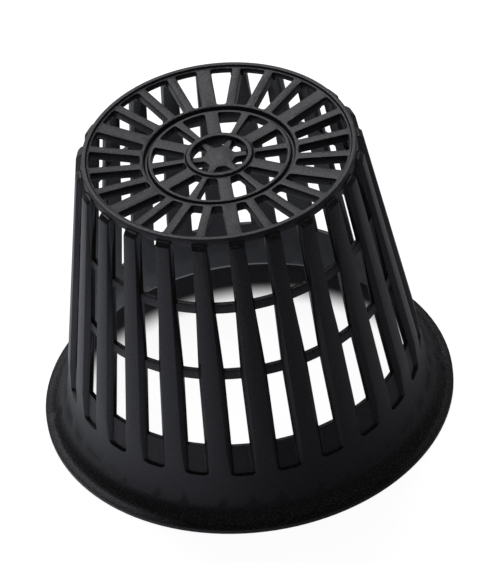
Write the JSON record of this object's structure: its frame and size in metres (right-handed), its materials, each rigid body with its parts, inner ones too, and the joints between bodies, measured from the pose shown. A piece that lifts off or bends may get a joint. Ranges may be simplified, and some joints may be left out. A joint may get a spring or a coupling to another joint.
{
  "type": "net pot",
  "caption": "Moulded plant cup with an open slotted wall, spoked grid base and flared rim, standing upside down on its rim.",
  "frame": {"origin": "centre of the flared rim's flat land, which the cup stands on upside down", "axes": "+Z is the cup's axis, from the rim up to the grid of the base; a wide spoke of the base points along -Y"},
  "size_m": [0.108, 0.108, 0.0835],
  "materials": {
    "black_plastic": "fine matte grain, dull satin"
  },
  "bodies": {
    "root": {"net_pot": "black_plastic"}
  },
  "joints": []
}
